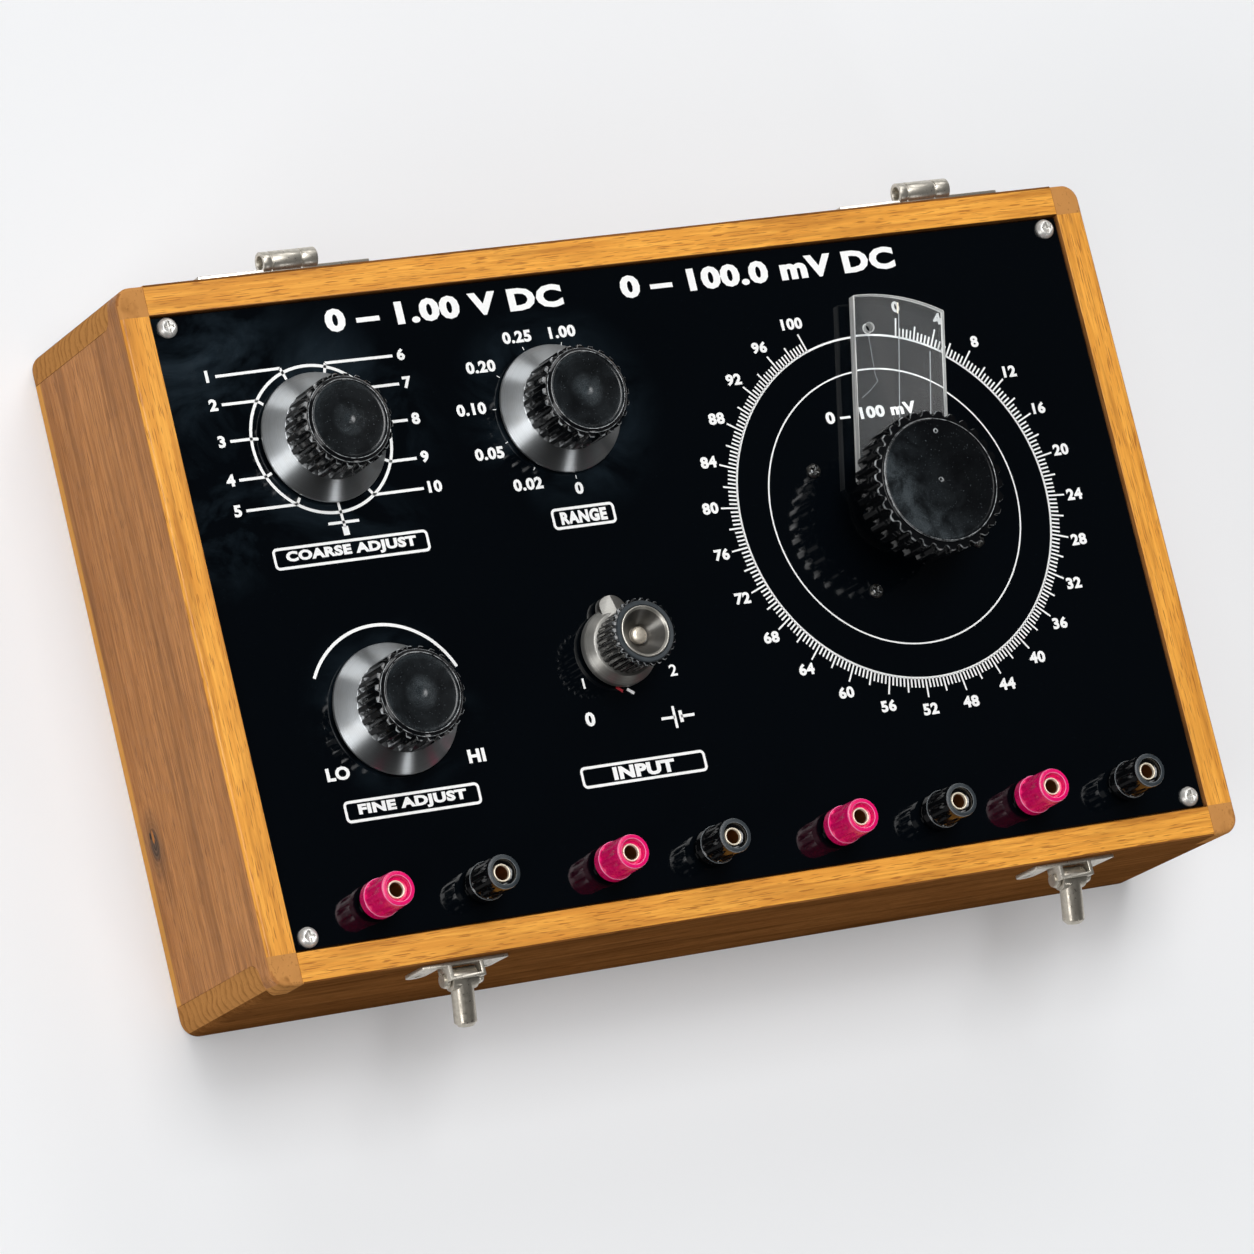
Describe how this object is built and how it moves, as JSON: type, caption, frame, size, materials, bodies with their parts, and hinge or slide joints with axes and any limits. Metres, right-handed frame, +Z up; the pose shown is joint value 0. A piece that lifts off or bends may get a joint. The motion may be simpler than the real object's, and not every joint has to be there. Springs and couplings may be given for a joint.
{
  "type": "measuring potentiometer",
  "caption": "Wooden-cased bench measuring potentiometer: black panel, turning dials with skirts, a large dial with clear cursor, and screw-down binding posts along the front.",
  "frame": {"origin": "on the underside of the base board, below the middle of the panel", "axes": "+X to the right along the long side, +Y from the catches to the hinges, +Z up out of the panel"},
  "size_m": [0.318, 0.2254, 0.0908],
  "materials": {
    "light_wood": "satin lacquer",
    "dark_wood": "satin lacquer",
    "plywood": "bare",
    "black_panel": "polished",
    "nickel": "nickel plated",
    "brass": "turned",
    "phenolic": "satin",
    "copper_wire": "drawn wire",
    "slate": "matt",
    "gloss_black": "moulded gloss",
    "matte_black": "fine grained",
    "spun_aluminium": "spun",
    "clear_acrylic": "polished edges",
    "magenta": "moulded gloss"
  },
  "bodies": {
    "case": {"left_side_board": "dark_wood", "right_side_board": "dark_wood", "front_board": "light_wood", "rear_board": "light_wood", "base_board": "plywood", "base_screws": "nickel", "panel_battens": "dark_wood", "instrument_panel": "black_panel", "panel_screws": "nickel", "hinge_left": "nickel", "hinge_right": "nickel", "hinge_screws": "nickel", "catch_plate_left": "nickel", "catch_plate_right": "nickel", "catch_pins": "nickel", "catch_screws": "nickel", "shaft_bushings": "brass", "bushing_nuts": "nickel", "coarse_switch_deck": "phenolic", "volts_switch_deck": "phenolic", "selector_switch_deck": "phenolic", "line_winding": "copper_wire", "slide_wire_former": "slate", "slide_wire": "copper_wire", "former_screws": "nickel", "post_collars": "gloss_black", "post_studs": "brass", "post_nuts": "brass", "resistor_bobbins": "copper_wire"},
    "catch_stud_left": {"catch_stud_left": "nickel"},
    "catch_stud_right": {"catch_stud_right": "nickel"},
    "coarse_dial": {"coarse_skirt": "spun_aluminium", "coarse_knob": "gloss_black", "coarse_face": "matte_black", "coarse_shaft": "nickel"},
    "volts_dial": {"volts_skirt": "spun_aluminium", "volts_knob": "gloss_black", "volts_face": "matte_black", "volts_shaft": "nickel"},
    "line_dial": {"line_skirt": "spun_aluminium", "line_knob": "gloss_black", "line_face": "matte_black", "line_shaft": "nickel"},
    "selector_dial": {"selector_skirt": "spun_aluminium", "selector_knob": "gloss_black", "selector_dish": "spun_aluminium", "selector_shaft": "nickel"},
    "main_dial": {"main_knob": "gloss_black", "main_face": "matte_black", "cursor": "clear_acrylic", "main_shaft": "nickel"},
    "post_cap_1": {"post_cap_1": "magenta"},
    "post_cap_2": {"post_cap_2": "gloss_black"},
    "post_cap_3": {"post_cap_3": "magenta"},
    "post_cap_4": {"post_cap_4": "gloss_black"},
    "post_cap_5": {"post_cap_5": "magenta"},
    "post_cap_6": {"post_cap_6": "gloss_black"},
    "post_cap_7": {"post_cap_7": "magenta"},
    "post_cap_8": {"post_cap_8": "gloss_black"}
  },
  "joints": [
    {"name": "coarse_turn", "type": "hinge", "parent": "case", "child": "coarse_dial", "pos_m": [-0.1059, 0.0511, 0.0628], "axis": [0, 0, 1], "range_deg": [-150, 120]},
    {"name": "volts_turn", "type": "hinge", "parent": "case", "child": "volts_dial", "pos_m": [-0.0302, 0.0511, 0.0628], "axis": [0, 0, 1], "range_deg": [-105, 165]},
    {"name": "line_turn", "type": "hinge", "parent": "case", "child": "line_dial", "pos_m": [-0.1035, -0.0284, 0.0628], "axis": [0, 0, 1], "range_deg": [-140, 140]},
    {"name": "selector_turn", "type": "hinge", "parent": "case", "child": "selector_dial", "pos_m": [-0.0302, -0.02, 0.0628], "axis": [0, 0, 1], "range_deg": [-60, 60]},
    {"name": "main_turn", "type": "hinge", "parent": "case", "child": "main_dial", "pos_m": [0.0715, 0.0103, 0.0628], "axis": [0, 0, 1], "range_deg": [-326.5, 0]},
    {"name": "catch_left_swing", "type": "hinge", "parent": "case", "child": "catch_stud_left", "pos_m": [-0.0985, -0.10475, 0.0562], "axis": [1, 0, 0], "range_deg": [-20, 70]},
    {"name": "catch_right_swing", "type": "hinge", "parent": "case", "child": "catch_stud_right", "pos_m": [0.1025, -0.10475, 0.0562], "axis": [1, 0, 0], "range_deg": [-20, 70]},
    {"name": "post_1_unscrew", "type": "slide", "parent": "case", "child": "post_cap_1", "axis": [0, 0, 1], "range_m": [0, 0.004]},
    {"name": "post_2_unscrew", "type": "slide", "parent": "case", "child": "post_cap_2", "axis": [0, 0, 1], "range_m": [0, 0.004]},
    {"name": "post_3_unscrew", "type": "slide", "parent": "case", "child": "post_cap_3", "axis": [0, 0, 1], "range_m": [0, 0.004]},
    {"name": "post_4_unscrew", "type": "slide", "parent": "case", "child": "post_cap_4", "axis": [0, 0, 1], "range_m": [0, 0.004]},
    {"name": "post_5_unscrew", "type": "slide", "parent": "case", "child": "post_cap_5", "axis": [0, 0, 1], "range_m": [0, 0.004]},
    {"name": "post_6_unscrew", "type": "slide", "parent": "case", "child": "post_cap_6", "axis": [0, 0, 1], "range_m": [0, 0.004]},
    {"name": "post_7_unscrew", "type": "slide", "parent": "case", "child": "post_cap_7", "axis": [0, 0, 1], "range_m": [0, 0.004]},
    {"name": "post_8_unscrew", "type": "slide", "parent": "case", "child": "post_cap_8", "axis": [0, 0, 1], "range_m": [0, 0.004]}
  ]
}
